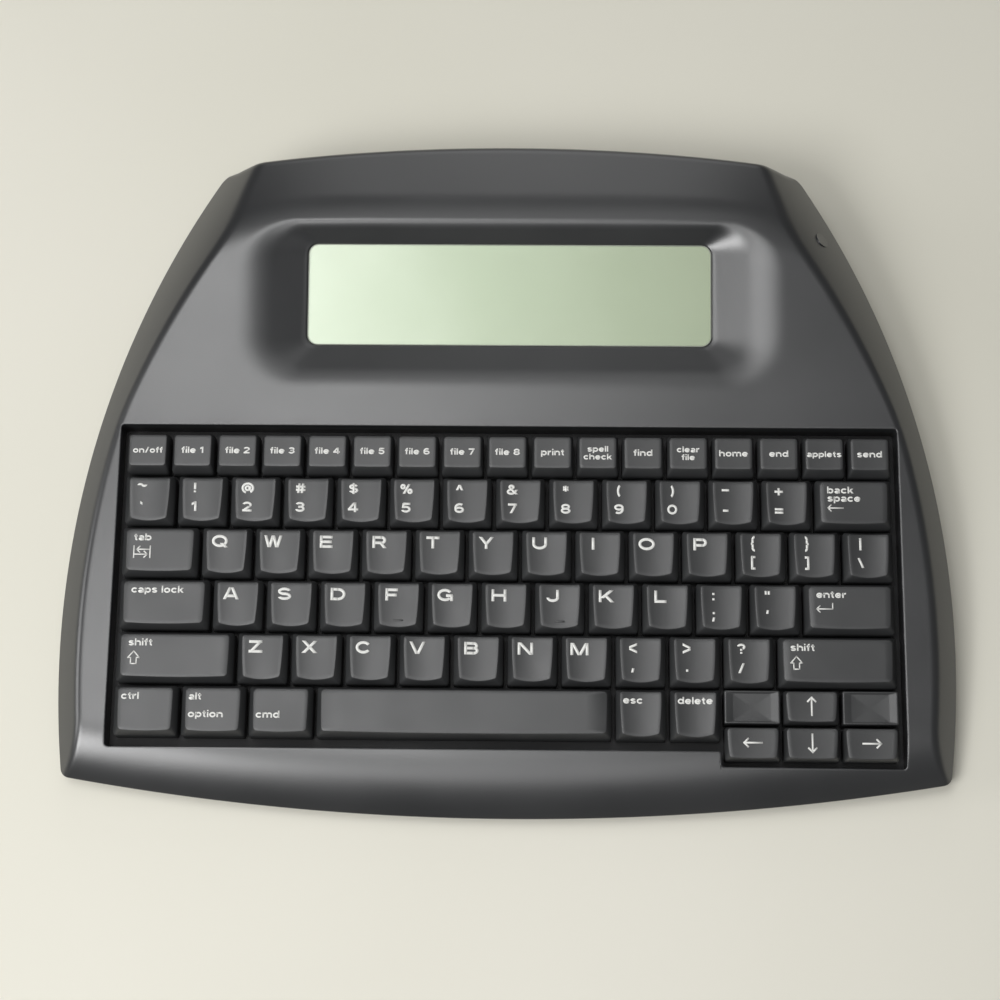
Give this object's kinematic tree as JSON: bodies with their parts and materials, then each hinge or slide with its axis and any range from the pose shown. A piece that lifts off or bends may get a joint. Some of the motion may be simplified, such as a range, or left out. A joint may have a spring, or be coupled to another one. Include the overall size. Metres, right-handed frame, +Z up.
{
  "type": "electronic word processor",
  "caption": "One-piece portable electronic word processor: sloping full keyboard in a well, wide fixed reflective display in a dished hump, bevelled slab case.",
  "frame": {"origin": "under the centre of the case, on the surface it stands on", "axes": "+X to the typist's right, +Y away from the typist, +Z up"},
  "size_m": [0.32, 0.2483, 0.0472],
  "materials": {
    "case_plastic": "fine spark-eroded texture",
    "key_plastic": "fine matt, worn smooth on top",
    "frame_plastic": "matt black",
    "clear_window": "clear acrylic",
    "lcd_glass": "pale green reflective display",
    "circuit_board": "solder mask",
    "membrane_film": "polyester film",
    "steel": "plated sheet",
    "rubber": "matt",
    "cell_jacket": "plain printed jacket",
    "contact_metal": "nickel plate"
  },
  "bodies": {
    "base": {"top_case": "case_plastic", "bottom_case": "case_plastic", "display_window": "clear_window", "lcd_panel": "lcd_glass", "lcd_frame": "frame_plastic", "lcd_board": "circuit_board", "keyboard_frame": "frame_plastic", "key_domes": "rubber", "switch_membrane": "membrane_film", "keyboard_backplate": "steel", "filler_keys": "key_plastic", "main_board": "circuit_board", "usb_b_port": "steel", "usb_a_port": "steel", "backup_cell": "steel", "ribbon_cables": "membrane_film", "battery_cells": "cell_jacket", "battery_contacts": "contact_metal", "rubber_feet": "rubber", "side_plug": "case_plastic"},
    "battery_door": {"battery_door": "case_plastic"},
    "key_a": {"key_a": "key_plastic"},
    "key_b": {"key_b": "key_plastic"},
    "key_c": {"key_c": "key_plastic"},
    "key_d": {"key_d": "key_plastic"},
    "key_e": {"key_e": "key_plastic"},
    "key_f": {"key_f": "key_plastic"},
    "key_g": {"key_g": "key_plastic"},
    "key_h": {"key_h": "key_plastic"},
    "key_i": {"key_i": "key_plastic"},
    "key_j": {"key_j": "key_plastic"},
    "key_k": {"key_k": "key_plastic"},
    "key_l": {"key_l": "key_plastic"},
    "key_m": {"key_m": "key_plastic"},
    "key_n": {"key_n": "key_plastic"},
    "key_o": {"key_o": "key_plastic"},
    "key_p": {"key_p": "key_plastic"},
    "key_q": {"key_q": "key_plastic"},
    "key_r": {"key_r": "key_plastic"},
    "key_s": {"key_s": "key_plastic"},
    "key_t": {"key_t": "key_plastic"},
    "key_u": {"key_u": "key_plastic"},
    "key_v": {"key_v": "key_plastic"},
    "key_w": {"key_w": "key_plastic"},
    "key_x": {"key_x": "key_plastic"},
    "key_y": {"key_y": "key_plastic"},
    "key_z": {"key_z": "key_plastic"},
    "space_bar": {"space_bar": "key_plastic"},
    "enter_key": {"enter_key": "key_plastic"},
    "backspace_key": {"backspace_key": "key_plastic"},
    "tab_key": {"tab_key": "key_plastic"},
    "caps_lock_key": {"caps_lock_key": "key_plastic"},
    "left_shift_key": {"left_shift_key": "key_plastic"},
    "right_shift_key": {"right_shift_key": "key_plastic"},
    "number_keys": {"number_keys": "key_plastic"},
    "punctuation_keys": {"punctuation_keys": "key_plastic"},
    "function_keys": {"function_keys": "key_plastic"},
    "modifier_keys": {"modifier_keys": "key_plastic"},
    "arrow_keys": {"arrow_keys": "key_plastic"}
  },
  "joints": [
    {"name": "key_a_press", "type": "slide", "parent": "base", "child": "key_a", "axis": [0, 0.1045, -0.9945], "range_m": [0, 0.003], "stiffness_N_per_m": 150, "springref_m": -0.001, "deforming": ["key_domes"]},
    {"name": "key_b_press", "type": "slide", "parent": "base", "child": "key_b", "axis": [0, 0.1045, -0.9945], "range_m": [0, 0.003], "stiffness_N_per_m": 150, "springref_m": -0.001, "deforming": ["key_domes"]},
    {"name": "key_c_press", "type": "slide", "parent": "base", "child": "key_c", "axis": [0, 0.1045, -0.9945], "range_m": [0, 0.003], "stiffness_N_per_m": 150, "springref_m": -0.001, "deforming": ["key_domes"]},
    {"name": "key_d_press", "type": "slide", "parent": "base", "child": "key_d", "axis": [0, 0.1045, -0.9945], "range_m": [0, 0.003], "stiffness_N_per_m": 150, "springref_m": -0.001, "deforming": ["key_domes"]},
    {"name": "key_e_press", "type": "slide", "parent": "base", "child": "key_e", "axis": [0, 0.1045, -0.9945], "range_m": [0, 0.003], "stiffness_N_per_m": 150, "springref_m": -0.001, "deforming": ["key_domes"]},
    {"name": "key_f_press", "type": "slide", "parent": "base", "child": "key_f", "axis": [0, 0.1045, -0.9945], "range_m": [0, 0.003], "stiffness_N_per_m": 150, "springref_m": -0.001, "deforming": ["key_domes"]},
    {"name": "key_g_press", "type": "slide", "parent": "base", "child": "key_g", "axis": [0, 0.1045, -0.9945], "range_m": [0, 0.003], "stiffness_N_per_m": 150, "springref_m": -0.001, "deforming": ["key_domes"]},
    {"name": "key_h_press", "type": "slide", "parent": "base", "child": "key_h", "axis": [0, 0.1045, -0.9945], "range_m": [0, 0.003], "stiffness_N_per_m": 150, "springref_m": -0.001, "deforming": ["key_domes"]},
    {"name": "key_i_press", "type": "slide", "parent": "base", "child": "key_i", "axis": [0, 0.1045, -0.9945], "range_m": [0, 0.003], "stiffness_N_per_m": 150, "springref_m": -0.001, "deforming": ["key_domes"]},
    {"name": "key_j_press", "type": "slide", "parent": "base", "child": "key_j", "axis": [0, 0.1045, -0.9945], "range_m": [0, 0.003], "stiffness_N_per_m": 150, "springref_m": -0.001, "deforming": ["key_domes"]},
    {"name": "key_k_press", "type": "slide", "parent": "base", "child": "key_k", "axis": [0, 0.1045, -0.9945], "range_m": [0, 0.003], "stiffness_N_per_m": 150, "springref_m": -0.001, "deforming": ["key_domes"]},
    {"name": "key_l_press", "type": "slide", "parent": "base", "child": "key_l", "axis": [0, 0.1045, -0.9945], "range_m": [0, 0.003], "stiffness_N_per_m": 150, "springref_m": -0.001, "deforming": ["key_domes"]},
    {"name": "key_m_press", "type": "slide", "parent": "base", "child": "key_m", "axis": [0, 0.1045, -0.9945], "range_m": [0, 0.003], "stiffness_N_per_m": 150, "springref_m": -0.001, "deforming": ["key_domes"]},
    {"name": "key_n_press", "type": "slide", "parent": "base", "child": "key_n", "axis": [0, 0.1045, -0.9945], "range_m": [0, 0.003], "stiffness_N_per_m": 150, "springref_m": -0.001, "deforming": ["key_domes"]},
    {"name": "key_o_press", "type": "slide", "parent": "base", "child": "key_o", "axis": [0, 0.1045, -0.9945], "range_m": [0, 0.003], "stiffness_N_per_m": 150, "springref_m": -0.001, "deforming": ["key_domes"]},
    {"name": "key_p_press", "type": "slide", "parent": "base", "child": "key_p", "axis": [0, 0.1045, -0.9945], "range_m": [0, 0.003], "stiffness_N_per_m": 150, "springref_m": -0.001, "deforming": ["key_domes"]},
    {"name": "key_q_press", "type": "slide", "parent": "base", "child": "key_q", "axis": [0, 0.1045, -0.9945], "range_m": [0, 0.003], "stiffness_N_per_m": 150, "springref_m": -0.001, "deforming": ["key_domes"]},
    {"name": "key_r_press", "type": "slide", "parent": "base", "child": "key_r", "axis": [0, 0.1045, -0.9945], "range_m": [0, 0.003], "stiffness_N_per_m": 150, "springref_m": -0.001, "deforming": ["key_domes"]},
    {"name": "key_s_press", "type": "slide", "parent": "base", "child": "key_s", "axis": [0, 0.1045, -0.9945], "range_m": [0, 0.003], "stiffness_N_per_m": 150, "springref_m": -0.001, "deforming": ["key_domes"]},
    {"name": "key_t_press", "type": "slide", "parent": "base", "child": "key_t", "axis": [0, 0.1045, -0.9945], "range_m": [0, 0.003], "stiffness_N_per_m": 150, "springref_m": -0.001, "deforming": ["key_domes"]},
    {"name": "key_u_press", "type": "slide", "parent": "base", "child": "key_u", "axis": [0, 0.1045, -0.9945], "range_m": [0, 0.003], "stiffness_N_per_m": 150, "springref_m": -0.001, "deforming": ["key_domes"]},
    {"name": "key_v_press", "type": "slide", "parent": "base", "child": "key_v", "axis": [0, 0.1045, -0.9945], "range_m": [0, 0.003], "stiffness_N_per_m": 150, "springref_m": -0.001, "deforming": ["key_domes"]},
    {"name": "key_w_press", "type": "slide", "parent": "base", "child": "key_w", "axis": [0, 0.1045, -0.9945], "range_m": [0, 0.003], "stiffness_N_per_m": 150, "springref_m": -0.001, "deforming": ["key_domes"]},
    {"name": "key_x_press", "type": "slide", "parent": "base", "child": "key_x", "axis": [0, 0.1045, -0.9945], "range_m": [0, 0.003], "stiffness_N_per_m": 150, "springref_m": -0.001, "deforming": ["key_domes"]},
    {"name": "key_y_press", "type": "slide", "parent": "base", "child": "key_y", "axis": [0, 0.1045, -0.9945], "range_m": [0, 0.003], "stiffness_N_per_m": 150, "springref_m": -0.001, "deforming": ["key_domes"]},
    {"name": "key_z_press", "type": "slide", "parent": "base", "child": "key_z", "axis": [0, 0.1045, -0.9945], "range_m": [0, 0.003], "stiffness_N_per_m": 150, "springref_m": -0.001, "deforming": ["key_domes"]},
    {"name": "space_bar_press", "type": "slide", "parent": "base", "child": "space_bar", "axis": [0, 0.1045, -0.9945], "range_m": [0, 0.003], "stiffness_N_per_m": 150, "springref_m": -0.001, "deforming": ["key_domes"]},
    {"name": "enter_key_press", "type": "slide", "parent": "base", "child": "enter_key", "axis": [0, 0.1045, -0.9945], "range_m": [0, 0.003], "stiffness_N_per_m": 150, "springref_m": -0.001, "deforming": ["key_domes"]},
    {"name": "backspace_key_press", "type": "slide", "parent": "base", "child": "backspace_key", "axis": [0, 0.1045, -0.9945], "range_m": [0, 0.003], "stiffness_N_per_m": 150, "springref_m": -0.001, "deforming": ["key_domes"]},
    {"name": "tab_key_press", "type": "slide", "parent": "base", "child": "tab_key", "axis": [0, 0.1045, -0.9945], "range_m": [0, 0.003], "stiffness_N_per_m": 150, "springref_m": -0.001, "deforming": ["key_domes"]},
    {"name": "caps_lock_key_press", "type": "slide", "parent": "base", "child": "caps_lock_key", "axis": [0, 0.1045, -0.9945], "range_m": [0, 0.003], "stiffness_N_per_m": 150, "springref_m": -0.001, "deforming": ["key_domes"]},
    {"name": "left_shift_key_press", "type": "slide", "parent": "base", "child": "left_shift_key", "axis": [0, 0.1045, -0.9945], "range_m": [0, 0.003], "stiffness_N_per_m": 150, "springref_m": -0.001, "deforming": ["key_domes"]},
    {"name": "right_shift_key_press", "type": "slide", "parent": "base", "child": "right_shift_key", "axis": [0, 0.1045, -0.9945], "range_m": [0, 0.003], "stiffness_N_per_m": 150, "springref_m": -0.001, "deforming": ["key_domes"]},
    {"name": "number_keys_press", "type": "slide", "parent": "base", "child": "number_keys", "axis": [0, 0.1045, -0.9945], "range_m": [0, 0.003], "stiffness_N_per_m": 1500, "springref_m": -0.001, "deforming": ["key_domes"]},
    {"name": "punctuation_keys_press", "type": "slide", "parent": "base", "child": "punctuation_keys", "axis": [0, 0.1045, -0.9945], "range_m": [0, 0.003], "stiffness_N_per_m": 1650, "springref_m": -0.001, "deforming": ["key_domes"]},
    {"name": "function_keys_press", "type": "slide", "parent": "base", "child": "function_keys", "axis": [0, 0.1045, -0.9945], "range_m": [0, 0.003], "stiffness_N_per_m": 2550, "springref_m": -0.001, "deforming": ["key_domes"]},
    {"name": "modifier_keys_press", "type": "slide", "parent": "base", "child": "modifier_keys", "axis": [0, 0.1045, -0.9945], "range_m": [0, 0.003], "stiffness_N_per_m": 750, "springref_m": -0.001, "deforming": ["key_domes"]},
    {"name": "arrow_keys_press", "type": "slide", "parent": "base", "child": "arrow_keys", "axis": [0, 0.1045, -0.9945], "range_m": [0, 0.003], "stiffness_N_per_m": 600, "springref_m": -0.001, "deforming": ["key_domes"]},
    {"name": "battery_door_slide", "type": "slide", "parent": "base", "child": "battery_door", "axis": [0, 1, 0], "range_m": [0, 0.062]}
  ]
}
